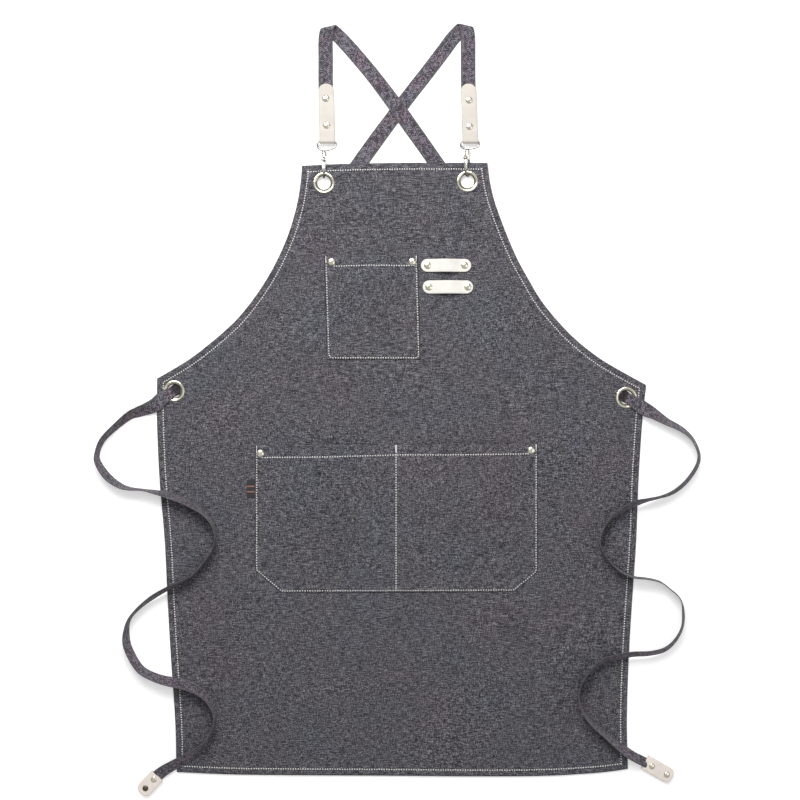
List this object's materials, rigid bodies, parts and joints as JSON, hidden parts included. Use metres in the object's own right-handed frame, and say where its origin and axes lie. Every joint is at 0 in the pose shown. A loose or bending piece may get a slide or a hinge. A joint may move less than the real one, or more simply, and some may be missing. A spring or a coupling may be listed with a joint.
{
  "type": "cross-back work apron",
  "caption": "Canvas work apron laid flat, with chest and lap pockets, leather loops, eyelets, crossed webbing straps on snap hooks, and long waist ties.",
  "frame": {"origin": "centre of the footprint of the apron, without its loose straps, on the surface it lies on", "axes": "+Y up the apron towards the bib, +X to the wearer's left as seen from the front (right in a front view), +Z out of the front face"},
  "size_m": [0.751, 0.954, 0.0214],
  "materials": {
    "canvas": "matt mottled dark grey canvas",
    "webbing": "herringbone woven cotton webbing, grey-purple",
    "leather": "pale cream grained leather, satin",
    "pale_metal": "polished pale gold plating",
    "spring_steel": "bright drawn wire",
    "label": null
  },
  "bodies": {
    "root": {"apron_panel": "canvas", "chest_pocket": "canvas", "eyelet_upper_left": "pale_metal", "eyelet_upper_right": "pale_metal", "eyelet_waist_left": "pale_metal", "eyelet_waist_right": "pale_metal", "lower_pocket": "canvas", "rivet_loop_lower_left": "pale_metal", "rivet_loop_lower_right": "pale_metal", "rivet_loop_upper_left": "pale_metal", "rivet_loop_upper_right": "pale_metal", "rivet_pocket_chest_left": "pale_metal", "rivet_pocket_chest_right": "pale_metal", "rivet_pocket_lower_left": "pale_metal", "rivet_pocket_lower_right": "pale_metal", "rivet_tab_left_bottom": "pale_metal", "rivet_tab_left_top": "pale_metal", "rivet_tab_right_bottom": "pale_metal", "rivet_tab_right_top": "pale_metal", "side_label": "label", "strap_front_left": "webbing", "strap_front_right": "webbing", "strap_left": "webbing", "strap_right": "webbing", "strap_tab_left": "leather", "strap_tab_right": "leather", "swivel_eye_left": "pale_metal", "swivel_eye_right": "pale_metal", "tie_end_left": "leather", "tie_end_left_rivet_1": "pale_metal", "tie_end_left_rivet_2": "pale_metal", "tie_end_right": "leather", "tie_end_right_rivet_1": "pale_metal", "tie_end_right_rivet_2": "pale_metal", "tool_loop_lower": "leather", "tool_loop_upper": "leather", "washer_upper_left": "pale_metal", "washer_upper_right": "pale_metal", "washer_waist_left": "pale_metal", "washer_waist_right": "pale_metal"},
    "hook_left": {"snap_hook_left": "pale_metal", "gate_pin_left": "pale_metal"},
    "gate_left": {"hook_gate_left": "pale_metal", "gate_spring_left": "spring_steel"},
    "hook_right": {"snap_hook_right": "pale_metal", "gate_pin_right": "pale_metal"},
    "gate_right": {"hook_gate_right": "pale_metal", "gate_spring_right": "spring_steel"}
  },
  "joints": [
    {"name": "hook_swivel_left", "type": "hinge", "parent": "root", "child": "hook_left", "pos_m": [-0.09635, 0.30603, 0.0068], "axis": [0, 1, 0], "range_deg": [-28, 28]},
    {"name": "gate_hinge_left", "type": "hinge", "parent": "hook_left", "child": "gate_left", "pos_m": [-0.09635, 0.33443, 0.0123], "axis": [1, 0, 0], "range_deg": [0, 15], "stiffness_Nm_per_rad": 0.01, "springref_deg": -28.65},
    {"name": "hook_swivel_right", "type": "hinge", "parent": "root", "child": "hook_right", "pos_m": [0.08134, 0.30789, 0.0068], "axis": [0, 1, 0], "range_deg": [-4, 52]},
    {"name": "gate_hinge_right", "type": "hinge", "parent": "hook_right", "child": "gate_right", "pos_m": [0.0791, 0.33629, 0.01183], "axis": [0.9135, 0, 0.4067], "range_deg": [0, 15], "stiffness_Nm_per_rad": 0.01, "springref_deg": -28.65}
  ]
}
